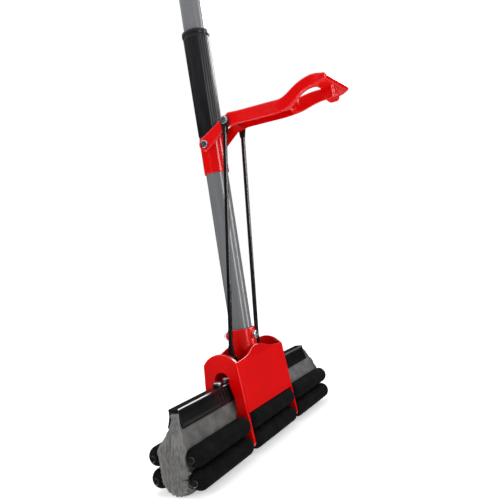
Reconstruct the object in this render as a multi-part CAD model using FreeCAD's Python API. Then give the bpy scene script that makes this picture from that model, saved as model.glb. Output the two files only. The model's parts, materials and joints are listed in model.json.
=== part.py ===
import FreeCAD, Part
import math
import os
from FreeCAD import Vector

# Roller sponge mop. Millimetres, +Z up the pole. The origin is the centre of the sponge's sole,
# +X runs along the head, and the wringing lever points along -Y.

# Pole
TUBE_R = 12.5
TUBE_WALL = 1.0
TUBE_BOTTOM = 90.0
TUBE_JOINT = 405.0
TUBE_TOP = 1150.0
JOINER_HALF_LENGTH = 45.0
JOINER_WALL = 2.5
JOINER_COLLAR_HALF = 0.5
BORE_CLEARANCE = 0.05

# Hand grip over the joint of the two tubes
GRIP_BOTTOM = 344.8
GRIP_TOP = 466.0
GRIP_R_BOTTOM = 14.1
GRIP_R_TOP = 14.9
GRIP_RING_R = 15.7
GRIP_RING_HEIGHT = 6.0

# Cap with the hanging hole
CAP_R = 13.5
CAP_HEIGHT = 30.0
CAP_HALF_THICKNESS = 8.0
CAP_EDGE = 9.0
HANG_HOLE_R = 4.0
HANG_HOLE_Z = 1165.0

# Collar that carries the lever
COLLAR_R = 14.0
COLLAR_BOTTOM = 302.9
COLLAR_TOP = 344.2
COLLAR_BOSS_R = 7.0
COLLAR_BOSS_X = 14.55

# Lever: distances run forward of the pivot (towards -Y) and above it
PIVOT_Z = 335.5
PIVOT_BOLT_R = 2.5
LEVER_BOSS_R = 8.0
LEVER_ROOT_HALF_WIDTH = 17.0
LEVER_ROOT_INNER = 14.7
LEVER_STEM_HALF_WIDTH = 15.0
LEVER_LOOP_HALF_WIDTH = 36.0
LEVER_REACH = 156.5
LEVER_ROOT_END = 36.0
LEVER_WEB = 2.3
LEVER_WEB_START = 27.0
LEVER_STEM_END = 99.0
LEVER_BEND = (34.0, 27.3)
LEVER_ELBOW = (27.0, 10.5)
LEVER_FOLDED_ANGLE = 92.0
SADDLE_REST_R = 12.75
SADDLE_REST_HALF_WIDTH = 10.2
SADDLE_REST_START = 139.5
SADDLE_REST_END = 153.5
SADDLE_REST_LIP = 12.8
SADDLE_REST_CORNER = 4.5
EYE_FORWARD = 31.0
EYE_UP = 19.0

# Pull rods
ROD_R = 2.4
ROD_TOP_X = 19.65
ROD_BOTTOM_X = 31.2
ROD_BOTTOM_Z = 96.5
ROD_EYE_R = 4.8
ROD_EYE_THICKNESS = 3.6
ROD_EYE_HOLE_R = 2.25
ROD_EYE_GAP = 0.2
ROD_TAPER = 15.0
ROD_BAR_START = 7.5

# Pan-head screws
SCREW_HEAD_R = 4.4
SCREW_HEAD_HEIGHT = 2.3
SCREW_RECESS_R = 2.0
SCREW_RECESS_DEPTH = 1.2
SCREW_HEAD_EDGE = 1.2
NUT_R = 4.6
NUT_HEIGHT = 3.2
SEAT_GAP = 0.1

# Rounded edges
LEVER_EDGE = 2.0
LOOP_EDGE = 1.2
PLATE_SHOULDER_R = 4.0
PLATE_EDGE = 1.2
WALL_CREST_EDGE = 0.8
SOCKET_EDGE = 1.2
COLLAR_EDGE = 0.8
ROD_EYE_EDGE = 0.6
NUT_EDGE = 0.8

# Wringer housing
PLATE_INNER_X = 52.3
PLATE_THICKNESS = 3.5
ARCH_HALF_WIDTH = 20.5
ARCH_CORNER_Z = 96.5
ARCH_TOP_Z = 107.2
LEG_TIP_Y = 22.4
LEG_TIP_Z = 14.6
LEG_TIP_R = 5.1
GATE_HALF_WIDTH_TOP = 8.6
GATE_SHOULDER_Z = 82.0
GATE_TOP_Z = 88.5
GATE_HALF_WIDTH = 12.2
WALL_THICKNESS = 2.5
WALL_BOTTOM_Z = 45.0
WALL_BOTTOM_Y = 25.3
WALL_CROWN_Y = 15.6
WALL_CROWN_Z = 109.0
WALL_EDGE = ((0, 106.8), (14, 104.6), (26, 100.6), (40, 98.6), (52.3, 97.6))
SOCKET_R = 15.5
SOCKET_TOP = 125.9
SOCKET_FLOOR = 86.0
SOCKET_DRAIN_R = 8.0
SADDLE_HALF_LENGTH = 14.0
SADDLE_TOP = 103.5
SOCKET_BOLT_Z = 117.5
SOCKET_BOSS_R = 5.6
SOCKET_BOSS_FRONT = 16.4
SOCKET_BOSS_BACK = 18.4

# Rollers on their four axles
ROLLER_R = 9.5
ROLLER_Y = 21.2
ROLLER_ROWS = {"upper": 34.8, "lower": 14.3}
ROLLER_END_R = 3.5
AXLE_R = 2.0
ROLLER_GAP = 0.7
ROLLER_OUTER_END = 155.2
AXLE_END = 156.4
AXLE_CAP_R = 3.2
AXLE_CAP_START = 155.5
AXLE_CAP_END = 157.0
AXLE_CAP_EDGE = 0.8

# Carriage: sponge, its channel, and the bracket that the rods pull
CHANNEL_HALF_LENGTH = 143.5
CHANNEL_TOP = 76.5
CHANNEL_BOTTOM = 58.8
CHANNEL_OUTLINE = ((5.0, 76.5), (5.9, 75.6), (5.4, 74.2), (5.7, 69.5), (7.9, 62.5), (9.0, 60.6), (9.0, 58.8))
CHANNEL_INSIDE = ((7.2, 58.8), (6.0, 62.5), (3.7, 70.0), (3.7, 72.9))
CHANNEL_RIB_X = (59.5, 65.0, 70.5)
CHANNEL_RIB_HALF_WIDTH = 0.8
CHANNEL_RIB_Y = 8.4
BRACKET_HALF_LENGTH = 70.0
BRACKET_HALF_WIDTH = 5.0
BRACKET_THICKNESS = 2.2
BRACKET_SCREW_X = (47.3, 65.0)
LUG_INNER_X = 24.6
LUG_OUTER_X = 27.8
LUG_HALF_WIDTH = 5.0
LUG_PIN_R = 2.2
LUG_PIN_HEAD_R = 3.6
LUG_PIN_HEAD_HEIGHT = 1.6
SPONGE_GAP = 0.3
SPONGE_HALF_LENGTH = 156.0
SPONGE_NECK = ((3.4, 72.5), (3.4, 70.1), (5.7, 62.5), (6.8, 58.5))
SPONGE_BODY = ((8.6, 58.5), (8.8, 46.0), (11.1, 35.0), (11.1, 12.0), (9.8, 3.5), (7.0, 0.0))


def cylinder(radius, start, end):
    """Cylinder between two points."""
    axis = end - start
    return Part.makeCylinder(radius, axis.Length, start, axis)


def box(low, high):
    """Box between its lowest and highest corners."""
    size = high - low
    return Part.makeBox(size.x, size.y, size.z, low)


def ring(outer, inner, low, high):
    """Tube about the pole's axis."""
    return cylinder(outer, Vector(0, 0, low), Vector(0, 0, high)).cut(
        cylinder(inner, Vector(0, 0, low - 1), Vector(0, 0, high + 1)))


def turned(points):
    """Solid turned about the pole's axis from (radius, z) points."""
    corners = [Vector(radius, 0, z) for radius, z in points]
    face = Part.Face(Part.makePolygon(corners + corners[:1]))
    return face.revolve(Vector(0, 0, 0), Vector(0, 0, 1), 360)


def mirrored(half):
    """(y, z) points of a whole outline, from those of its +Y half listed top to bottom."""
    return [(-y, z) for y, z in reversed(half)] + list(half)


def bar(points, low_x, high_x):
    """Prism along X from (y, z) points."""
    corners = [Vector(low_x, y, z) for y, z in points]
    face = Part.Face(Part.makePolygon(corners + corners[:1]))
    return face.extrude(Vector(high_x - low_x, 0, 0))


def line(start, end):
    return Part.LineSegment(start, end).toShape()


def arc(start, middle, end):
    return Part.Arc(start, middle, end).toShape()


def spline(points):
    curve = Part.BSplineCurve()
    curve.interpolate(points)
    return curve.toShape()


def fused(shapes):
    shapes = list(shapes)
    return shapes[0].multiFuse(shapes[1:]).removeSplitter()


def rounded(shape, radius, chosen):
    """Shape with the edges that chosen picks rounded off."""
    return shape.makeFillet(radius, [edge for edge in shape.Edges if chosen(edge)])


def round_bar(radius, start, end, edge_radius, both=False):
    """Cylinder whose far rim, or both rims, are rounded."""
    def on_rim(edge):
        centre = edge.CenterOfMass
        return centre.distanceToPoint(end) < 0.01 or (both and centre.distanceToPoint(start) < 0.01)
    return rounded(cylinder(radius, start, end), edge_radius, on_rim)


def other_side(shape):
    """The same piece on the other end of the head."""
    return shape.mirror(Vector(0, 0, 0), Vector(1, 0, 0))


def save(name, shape):
    shape.exportStep(os.path.join("parts", name + ".step"))


def pan_screw(seat, direction, shank_r, shank_length):
    """Pan-head screw: its head sits on seat, and its shank runs against direction."""
    direction = direction.normalize()
    head_top = seat + direction * SCREW_HEAD_HEIGHT
    head = round_bar(SCREW_HEAD_R, seat, head_top, SCREW_HEAD_EDGE)
    recess = cylinder(SCREW_RECESS_R, head_top - direction * SCREW_RECESS_DEPTH, head_top + direction)
    shank = cylinder(shank_r, seat - direction * shank_length, seat)
    return head.cut(recess).fuse(shank).removeSplitter()


def hex_nut(seat, direction, hole_r):
    """Hexagon nut that stands on seat, with its face along direction."""
    direction = direction.normalize()
    across = Vector(1, 0, 0) if abs(direction.x) < 0.5 else Vector(0, 0, 1)
    sideways = direction.cross(across)
    corners = []
    for index in range(6):
        angle = math.radians(60 * index)
        corners.append(seat + across * (NUT_R * math.cos(angle)) + sideways * (NUT_R * math.sin(angle)))
    prism = Part.Face(Part.makePolygon(corners + corners[:1])).extrude(direction * NUT_HEIGHT)
    prism = prism.common(round_bar(NUT_R, seat, seat + direction * NUT_HEIGHT, NUT_EDGE))
    return prism.cut(cylinder(hole_r, seat - direction, seat + direction * (NUT_HEIGHT + 1)))


# Pole


def tube(low, high):
    return ring(TUBE_R, TUBE_R - TUBE_WALL, low, high)


def cross_hole(axis, radius, z):
    """Hole right through the pole at height z."""
    return cylinder(radius, Vector(0, 0, z) - axis * 30, Vector(0, 0, z) + axis * 30)


def make_lower_tube():
    pole = tube(TUBE_BOTTOM, TUBE_JOINT - JOINER_COLLAR_HALF)
    pole = pole.cut(cross_hole(Vector(0, 1, 0), PIVOT_BOLT_R + BORE_CLEARANCE, SOCKET_BOLT_Z))
    return pole.cut(cross_hole(Vector(1, 0, 0), PIVOT_BOLT_R + BORE_CLEARANCE, PIVOT_Z))


def make_tube_joiner():
    outer = TUBE_R - TUBE_WALL - BORE_CLEARANCE
    inner = outer - JOINER_WALL
    sleeve = ring(outer, inner, TUBE_JOINT - JOINER_HALF_LENGTH, TUBE_JOINT + JOINER_HALF_LENGTH)
    collar = ring(TUBE_R, inner, TUBE_JOINT - JOINER_COLLAR_HALF, TUBE_JOINT + JOINER_COLLAR_HALF)
    return sleeve.fuse(collar).removeSplitter()


def make_hand_grip():
    inner = TUBE_R + BORE_CLEARANCE
    ring_z = GRIP_TOP - GRIP_RING_HEIGHT
    return turned([
        (inner, GRIP_BOTTOM), (GRIP_R_BOTTOM - 1.0, GRIP_BOTTOM), (GRIP_R_BOTTOM, GRIP_BOTTOM + 3.0),
        (GRIP_R_TOP, ring_z - 1.0), (GRIP_RING_R, ring_z), (GRIP_RING_R, GRIP_TOP - 1.0),
        (GRIP_RING_R - 1.0, GRIP_TOP), (inner, GRIP_TOP)])


def make_hanging_cap():
    top = TUBE_TOP + CAP_HEIGHT
    head = round_bar(CAP_R, Vector(0, 0, TUBE_TOP), Vector(0, 0, top), CAP_EDGE)
    for side in (-1, 1):
        near = side * CAP_HALF_THICKNESS
        far = side * (CAP_R + 1)
        flat = box(Vector(-20, min(near, far), TUBE_TOP + 5), Vector(20, max(near, far), top + 1))
        head = head.cut(flat)
    plug = cylinder(TUBE_R - TUBE_WALL - BORE_CLEARANCE, Vector(0, 0, TUBE_TOP - 30), Vector(0, 0, TUBE_TOP))
    return head.fuse(plug).removeSplitter().cut(cross_hole(Vector(0, 1, 0), HANG_HOLE_R, HANG_HOLE_Z))


def make_lever_bracket():
    """Collar round the pole with a boss on each side for the lever's cheeks."""
    boss = cylinder(COLLAR_BOSS_R, Vector(-COLLAR_BOSS_X, 0, PIVOT_Z), Vector(COLLAR_BOSS_X, 0, PIVOT_Z))
    top = Vector(0, 0, COLLAR_TOP)
    sleeve = round_bar(COLLAR_R, top, Vector(0, 0, COLLAR_BOTTOM), COLLAR_EDGE, both=True)
    pole = cylinder(TUBE_R + BORE_CLEARANCE, Vector(0, 0, COLLAR_BOTTOM - 1), Vector(0, 0, COLLAR_TOP + 1))
    collar = sleeve.fuse(boss).removeSplitter().cut(pole)
    return collar.cut(cross_hole(Vector(1, 0, 0), PIVOT_BOLT_R, PIVOT_Z))


def make_pivot_bolt():
    seat = Vector(-LEVER_ROOT_HALF_WIDTH - 0.2, 0, PIVOT_Z)
    return pan_screw(seat, Vector(-1, 0, 0), PIVOT_BOLT_R, 2 * LEVER_ROOT_HALF_WIDTH + NUT_HEIGHT)


def make_pivot_nut():
    return hex_nut(Vector(LEVER_ROOT_HALF_WIDTH + 0.2, 0, PIVOT_Z), Vector(1, 0, 0), PIVOT_BOLT_R)


# Lever


def at_lever(x, forward, up):
    """Point in the lever's own directions, measured from its pivot."""
    return Vector(x, -forward, PIVOT_Z + up)


def tangent_point(target, side):
    """Where a line from target touches the round pivot boss; side is +1 above and -1 below."""
    distance = math.hypot(*target)
    angle = math.atan2(target[1], target[0]) + side * math.acos(LEVER_BOSS_R / distance)
    return (LEVER_BOSS_R * math.cos(angle), LEVER_BOSS_R * math.sin(angle))


def make_lever_side():
    """Side view of the lever, as wide as its finger loop."""
    top_touch = tangent_point(LEVER_BEND, 1)
    low_touch = tangent_point(LEVER_ELBOW, -1)

    def spot(point):
        return at_lever(-LEVER_LOOP_HALF_WIDTH - 5, point[0], point[1])

    top = [(90, 26.0), (101, 27.0), (114, 31.4), (130, 34.2), (143, 34.4), (152, 32.6)]
    nose = [(LEVER_REACH, 29.2), (152.5, 26.0)]
    under = [(152.5, 26.0), (146, 23.6), (133, 22.6), (121, 19.4), (108, 14.0), (96, 11.9), (84, 11.6)]
    back = (-LEVER_BOSS_R, 0)
    edges = [
        arc(spot(low_touch), spot(back), spot(top_touch)),
        line(spot(top_touch), spot(LEVER_BEND)),
        line(spot(LEVER_BEND), spot(top[0])),
        spline([spot(point) for point in top]),
        arc(spot(top[-1]), spot(nose[0]), spot(nose[1])),
        spline([spot(point) for point in under]),
        line(spot(under[-1]), spot((40, 12.6))),
        line(spot((40, 12.6)), spot(LEVER_ELBOW)),
        line(spot(LEVER_ELBOW), spot(low_touch))]
    return Part.Face(Part.Wire(edges)).extrude(Vector(2 * LEVER_LOOP_HALF_WIDTH + 10, 0, 0))


def make_lever_plan():
    """View of the lever from above, taller than the lever."""
    root = LEVER_ROOT_HALF_WIDTH
    stem = LEVER_STEM_HALF_WIDTH
    loop = LEVER_LOOP_HALF_WIDTH
    flare = [(stem, 88), (16.2, 101), (20.2, 111.5), (25.0, 120), (30.4, 129.5), (34.6, 139), (loop, 148)]

    def spot(point):
        return at_lever(point[0], point[1], -20)

    def half(side):
        def turned_spot(point):
            return spot((side * point[0], point[1]))
        neck = turned_spot((stem, LEVER_ROOT_END + 8))
        corner = turned_spot((loop - 1.5, LEVER_REACH - 1.7))
        return [
            line(turned_spot((root, -10)), turned_spot((root, LEVER_ROOT_END))),
            line(turned_spot((root, LEVER_ROOT_END)), neck),
            line(neck, turned_spot(flare[0])),
            spline([turned_spot(point) for point in flare]),
            arc(turned_spot(flare[-1]), corner, turned_spot((loop - 6, LEVER_REACH + 1)))]

    ends = [
        line(spot((-root, -10)), spot((root, -10))),
        line(spot((loop - 6, LEVER_REACH + 1)), spot((6 - loop, LEVER_REACH + 1)))]
    wire = Part.Wire(Part.__sortEdges__(half(1) + half(-1) + ends))
    return Part.Face(wire).extrude(Vector(0, 0, 80))


def make_finger_loop():
    """Opening between the lever's two rails."""
    side = [(0, 102.5), (8.5, 104.2), (14.5, 110.5), (19.5, 120), (24.5, 130), (27.0, 137.5)]
    right = [at_lever(x, forward, -20) for x, forward in side]
    left = [at_lever(-x, forward, -20) for x, forward in side]
    bar_right = at_lever(22.5, 142.5, -20)
    bar_left = at_lever(-22.5, 142.5, -20)
    whole = [point for point in reversed(left)] + right[1:]
    edges = [
        spline(whole),
        arc(right[-1], at_lever(26.0, 141.2, -20), bar_right),
        line(bar_right, bar_left),
        arc(bar_left, at_lever(-26.0, 141.2, -20), left[-1])]
    return Part.Face(Part.Wire(edges)).extrude(Vector(0, 0, 80))


def make_pole_clearance():
    """Room for the pole when the lever is folded down against it, open on the lever's under side."""
    tilt = math.radians(LEVER_FOLDED_ANGLE - 90)
    along = Vector(0, -math.cos(tilt), math.sin(tilt))
    below = Vector(0, -math.sin(tilt), -math.cos(tilt))
    pivot = at_lever(0, 0, 0)
    start = pivot + along * LEVER_WEB_START
    end = pivot + along * 175
    groove = cylinder(SADDLE_REST_R, start, end)
    side = Vector(SADDLE_REST_R, 0, 0)
    corners = [start - side, start + side, end + side, end - side]
    slab = Part.Face(Part.makePolygon(corners + corners[:1])).extrude(below * 45)
    return groove.fuse(slab)


def runs_along_lever(edge):
    """True for the edges of the lever's sides, but not for those across it or its upright corners."""
    around = edge.BoundBox
    return around.XLength < LEVER_STEM_HALF_WIDTH and (around.XLength > 0.3 or around.YLength > 0.3)


def is_upright(edge):
    """True for upright edges."""
    around = edge.BoundBox
    return around.XLength < 0.01 and around.YLength < 0.01


def is_loop_rim(edge):
    """True for the upper rim of the finger loop."""
    around = edge.BoundBox
    inside = around.XMin > -30 and around.XMax < 30
    return inside and around.YMax < -100 and around.YMin > -145 and around.ZMin > PIVOT_Z + 24


def make_lever():
    body = make_lever_side().common(make_lever_plan())
    body = rounded(body, LEVER_EDGE, runs_along_lever)
    body = body.cut(make_finger_loop())
    body = rounded(body, LOOP_EDGE, is_loop_rim)
    rest = box(at_lever(-SADDLE_REST_HALF_WIDTH, SADDLE_REST_END, SADDLE_REST_LIP),
               at_lever(SADDLE_REST_HALF_WIDTH, SADDLE_REST_START, 28))
    rest = rounded(rest, SADDLE_REST_CORNER, is_upright)
    body = body.fuse(rest).removeSplitter()
    inner = LEVER_ROOT_INNER
    root_room = box(at_lever(-inner, LEVER_WEB_START, -30), at_lever(inner, -30, 60))
    web_under = LEVER_BEND[1] - LEVER_WEB
    collar_room = box(at_lever(-inner, LEVER_ROOT_END, -30), at_lever(inner, 0, web_under - 5))
    hollow = [
        (-LEVER_WEB_START, PIVOT_Z - 30), (-LEVER_STEM_END, PIVOT_Z - 30),
        (-LEVER_STEM_END, PIVOT_Z + 26.0 - LEVER_WEB), (-LEVER_BEND[0], PIVOT_Z + web_under),
        (-LEVER_WEB_START, PIVOT_Z + web_under - 5.5)]
    stem_room = bar(hollow, -SADDLE_REST_R, SADDLE_REST_R)
    for room in (root_room, collar_room, stem_room, make_pole_clearance()):
        body = body.cut(room)
    body = body.cut(cross_hole(Vector(1, 0, 0), PIVOT_BOLT_R + BORE_CLEARANCE, PIVOT_Z))
    eye_axis = cylinder(ROD_EYE_HOLE_R - BORE_CLEARANCE, at_lever(-30, EYE_FORWARD, EYE_UP),
                        at_lever(30, EYE_FORWARD, EYE_UP))
    return body.cut(eye_axis)


def make_rod_screw():
    """Shoulder screw that carries the left rod's eye on the lever's cheek."""
    seat = at_lever(-LEVER_ROOT_HALF_WIDTH - ROD_EYE_GAP - ROD_EYE_THICKNESS - SEAT_GAP, EYE_FORWARD, EYE_UP)
    length = ROD_EYE_THICKNESS + ROD_EYE_GAP + LEVER_ROOT_HALF_WIDTH - LEVER_ROOT_INNER
    return pan_screw(seat, Vector(-1, 0, 0), ROD_EYE_HOLE_R - BORE_CLEARANCE, length)


# Pull rods


def make_pull_rod():
    """Left rod: a round bar with a flat eye at each end."""
    eye_x = -(LEVER_ROOT_HALF_WIDTH + ROD_EYE_GAP + ROD_EYE_THICKNESS / 2)
    top = Vector(-ROD_TOP_X, -EYE_FORWARD, PIVOT_Z + EYE_UP)
    bottom = Vector(-ROD_BOTTOM_X, 0, ROD_BOTTOM_Z)
    down = (bottom - top).normalize()
    pieces = [cylinder(ROD_R, top + down * ROD_BAR_START, bottom - down * ROD_BAR_START)]
    half = ROD_EYE_THICKNESS / 2
    thin = half - 0.3
    for centre, away in ((Vector(eye_x, top.y, top.z), down), (bottom, down * -1)):
        eye_start = centre - Vector(half, 0, 0)
        eye_end = centre + Vector(half, 0, 0)
        pieces.append(round_bar(ROD_EYE_R, eye_start, eye_end, ROD_EYE_EDGE, both=True))
        outer = centre - Vector(thin, 0, 0)
        side = away.cross(Vector(1, 0, 0)).normalize()
        root = outer + away * 1.5
        tip = outer + away * ROD_TAPER
        corners = [root + side * (ROD_EYE_R - 0.4), tip + side * ROD_R, tip - side * ROD_R,
                   root - side * (ROD_EYE_R - 0.4)]
        pieces.append(Part.Face(Part.makePolygon(corners + corners[:1])).extrude(Vector(2 * thin, 0, 0)))
    rod = fused(pieces)
    for centre in (top, bottom):
        rod = rod.cut(cylinder(ROD_EYE_HOLE_R, centre - Vector(10, 0, 0), centre + Vector(10, 0, 0)))
    return rod


# Wringer housing


def is_shoulder(edge):
    """True for the two edges through the side plate where its arch meets its legs."""
    across = edge.BoundBox.XLength > PLATE_THICKNESS / 2
    return across and edge.CenterOfMass.z > ARCH_CORNER_Z - 0.1


def is_plate_rim(edge):
    """True for the outline of the left side plate's outer face, apart from its gate."""
    on_face = edge.BoundBox.XMax < -PLATE_INNER_X - PLATE_THICKNESS + 0.01
    centre = edge.CenterOfMass
    return on_face and (abs(centre.y) > GATE_HALF_WIDTH + 0.1 or centre.z > GATE_TOP_Z + 2)


def is_crest(edge):
    """True for the long upper edges of the front and back walls."""
    return edge.BoundBox.XLength > PLATE_INNER_X and edge.CenterOfMass.z > ARCH_CORNER_Z


def make_side_plate():
    """Left side plate: an arch on two legs that hold the axles, with a gate for the channel."""
    def spot(y, z):
        return Vector(-PLATE_INNER_X - PLATE_THICKNESS, y, z)

    tip_low = LEG_TIP_Z - LEG_TIP_R
    edges = [
        arc(spot(-ARCH_HALF_WIDTH, ARCH_CORNER_Z), spot(0, ARCH_TOP_Z), spot(ARCH_HALF_WIDTH, ARCH_CORNER_Z)),
        arc(spot(-GATE_HALF_WIDTH_TOP, GATE_SHOULDER_Z), spot(0, GATE_TOP_Z),
            spot(GATE_HALF_WIDTH_TOP, GATE_SHOULDER_Z))]
    for side in (-1, 1):
        outside = side * (LEG_TIP_Y + LEG_TIP_R)
        inside = side * (LEG_TIP_Y - LEG_TIP_R)
        gate = side * GATE_HALF_WIDTH
        edges += [
            line(spot(side * ARCH_HALF_WIDTH, ARCH_CORNER_Z), spot(outside, LEG_TIP_Z)),
            arc(spot(outside, LEG_TIP_Z), spot(side * LEG_TIP_Y, tip_low), spot(inside, LEG_TIP_Z)),
            line(spot(inside, LEG_TIP_Z), spot(gate, 30)),
            line(spot(gate, 30), spot(gate, 62)),
            line(spot(gate, 62), spot(side * GATE_HALF_WIDTH_TOP, 75)),
            line(spot(side * GATE_HALF_WIDTH_TOP, 75), spot(side * GATE_HALF_WIDTH_TOP, GATE_SHOULDER_Z))]
    wire = max((Part.Wire(group) for group in Part.sortEdges(edges)), key=lambda loop: loop.Length)
    plate = Part.Face(wire).extrude(Vector(PLATE_THICKNESS, 0, 0))
    plate = rounded(plate, PLATE_SHOULDER_R, is_shoulder)
    plate = rounded(plate, PLATE_EDGE, is_plate_rim)
    for y in (-ROLLER_Y, ROLLER_Y):
        for z in ROLLER_ROWS.values():
            plate = plate.cut(cylinder(AXLE_R + 0.02, Vector(-80, y, z), Vector(-40, y, z)))
    return plate


def make_housing_walls():
    """Front and back walls, which rise towards the socket and dip beside the side plates."""
    inset = WALL_THICKNESS
    outer = [(WALL_CROWN_Y, WALL_CROWN_Z), (ARCH_HALF_WIDTH, ARCH_CORNER_Z), (WALL_BOTTOM_Y, WALL_BOTTOM_Z)]
    inner = [(y - inset, z) for y, z in outer]
    reach = PLATE_INNER_X + 0.5
    front = bar([(-y, z) for y, z in outer] + [(-y, z) for y, z in reversed(inner)], -reach, reach)
    back = bar(outer + list(reversed(inner)), -reach, reach)
    right = [Vector(x, -60, z) for x, z in WALL_EDGE]
    left = [Vector(-x, -60, z) for x, z in WALL_EDGE[1:]]
    crest = list(reversed(left)) + right
    low_right = Vector(crest[-1].x + 1, -60, 40)
    low_left = Vector(crest[0].x - 1, -60, 40)
    high_right = Vector(low_right.x, -60, crest[-1].z)
    high_left = Vector(low_left.x, -60, crest[0].z)
    edges = [
        spline(crest), line(crest[-1], high_right), line(high_right, low_right),
        line(low_right, low_left), line(low_left, high_left), line(high_left, crest[0])]
    under_crest = Part.Face(Part.Wire(edges)).extrude(Vector(0, 120, 0))
    return [rounded(wall.common(under_crest), WALL_CREST_EDGE, is_crest) for wall in (front, back)]


def make_socket():
    """Socket for the pole and the saddle that ties it to both walls."""
    post = round_bar(SOCKET_R, Vector(0, 0, SOCKET_FLOOR), Vector(0, 0, SOCKET_TOP), SOCKET_EDGE)
    boss = round_bar(SOCKET_BOSS_R, Vector(0, -SOCKET_BOSS_FRONT, SOCKET_BOLT_Z),
                     Vector(0, SOCKET_BOSS_BACK, SOCKET_BOLT_Z), COLLAR_EDGE, both=True)
    slope = (WALL_BOTTOM_Y - ARCH_HALF_WIDTH) / (ARCH_CORNER_Z - WALL_BOTTOM_Z)
    floor_y = ARCH_HALF_WIDTH + slope * (ARCH_CORNER_Z - SOCKET_FLOOR) - 1
    half = [(17.0, SADDLE_TOP), (ARCH_HALF_WIDTH - 1, ARCH_CORNER_Z), (floor_y, SOCKET_FLOOR)]
    saddle = bar(mirrored(half), -SADDLE_HALF_LENGTH, SADDLE_HALF_LENGTH)
    return [post, boss, saddle]


def make_wringer_housing():
    plate = make_side_plate()
    housing = fused([plate, other_side(plate)] + make_housing_walls() + make_socket())
    bore = cylinder(TUBE_R + BORE_CLEARANCE, Vector(0, 0, TUBE_BOTTOM), Vector(0, 0, SOCKET_TOP + 1))
    drain = cylinder(SOCKET_DRAIN_R, Vector(0, 0, SOCKET_FLOOR - 1), Vector(0, 0, TUBE_BOTTOM + 1))
    bolt = cross_hole(Vector(0, 1, 0), PIVOT_BOLT_R + BORE_CLEARANCE, SOCKET_BOLT_Z)
    return housing.cut(bore).cut(drain).cut(bolt)


def make_socket_bolt():
    seat = Vector(0, -SOCKET_BOSS_FRONT - SEAT_GAP, SOCKET_BOLT_Z)
    length = SOCKET_BOSS_FRONT + SOCKET_BOSS_BACK + NUT_HEIGHT + 1.5
    return pan_screw(seat, Vector(0, -1, 0), PIVOT_BOLT_R, length)


def make_socket_nut():
    return hex_nut(Vector(0, SOCKET_BOSS_BACK + SEAT_GAP, SOCKET_BOLT_Z), Vector(0, 1, 0), PIVOT_BOLT_R)


# Rollers


def roller_spans():
    """Where each roller of a row starts and ends: outside left, between the plates, outside right."""
    inner = PLATE_INNER_X - ROLLER_GAP
    outer = PLATE_INNER_X + PLATE_THICKNESS + ROLLER_GAP
    return {
        "left": (-ROLLER_OUTER_END, -outer),
        "middle": (-inner, inner),
        "right": (outer, ROLLER_OUTER_END)}


def make_roller(span, y, z):
    """Round-ended roller with a bore that turns on its axle."""
    low, high = span
    dome = math.sqrt(ROLLER_R ** 2 - ROLLER_END_R ** 2)
    centres = (low + dome, high - dome)
    body = cylinder(ROLLER_R, Vector(centres[0], y, z), Vector(centres[1], y, z))
    balls = [Part.makeSphere(ROLLER_R, Vector(x, y, z)) for x in centres]
    body = fused([body] + balls)
    reach = ROLLER_R + 1
    body = body.common(box(Vector(low, y - reach, z - reach), Vector(high, y + reach, z + reach)))
    return body.cut(cylinder(AXLE_R + BORE_CLEARANCE, Vector(low - 1, y, z), Vector(high + 1, y, z)))


def make_axle(y, z):
    return cylinder(AXLE_R, Vector(-AXLE_END, y, z), Vector(AXLE_END, y, z))


def make_axle_cap(side, y, z):
    """Push-on cap that keeps the outer roller on its axle."""
    start = Vector(side * AXLE_CAP_START, y, z)
    end = Vector(side * AXLE_CAP_END, y, z)
    cap = round_bar(AXLE_CAP_R, start, end, AXLE_CAP_EDGE)
    return cap.cut(cylinder(AXLE_R, start - Vector(side, 0, 0), Vector(side * AXLE_END, y, z)))


# Carriage


def make_sponge_channel():
    channel = bar(mirrored(CHANNEL_OUTLINE), -CHANNEL_HALF_LENGTH, CHANNEL_HALF_LENGTH)
    room = bar(mirrored(tuple(reversed(CHANNEL_INSIDE))), -CHANNEL_HALF_LENGTH - 1, CHANNEL_HALF_LENGTH + 1)
    ribs = []
    for x in CHANNEL_RIB_X:
        for side in (-1, 1):
            low = side * x - CHANNEL_RIB_HALF_WIDTH
            high = side * x + CHANNEL_RIB_HALF_WIDTH
            outline = [(5.0, 74.2), (6.4, 73.2), (CHANNEL_RIB_Y, 64.0), (9.0, 60.6), (7.9, CHANNEL_BOTTOM)]
            ribs.append(bar(mirrored(outline), low, high))
    channel = fused([channel] + ribs).cut(room)
    for x in BRACKET_SCREW_X:
        for side in (-1, 1):
            hole_top = Vector(side * x, 0, CHANNEL_TOP + 1)
            channel = channel.cut(cylinder(AXLE_R, hole_top - Vector(0, 0, 10), hole_top))
    return channel


def make_sponge():
    neck = bar(mirrored(SPONGE_NECK), -CHANNEL_HALF_LENGTH + SPONGE_GAP, CHANNEL_HALF_LENGTH - SPONGE_GAP)
    body = bar(mirrored(SPONGE_BODY), -SPONGE_HALF_LENGTH, SPONGE_HALF_LENGTH)
    return fused([neck, body])


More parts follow.
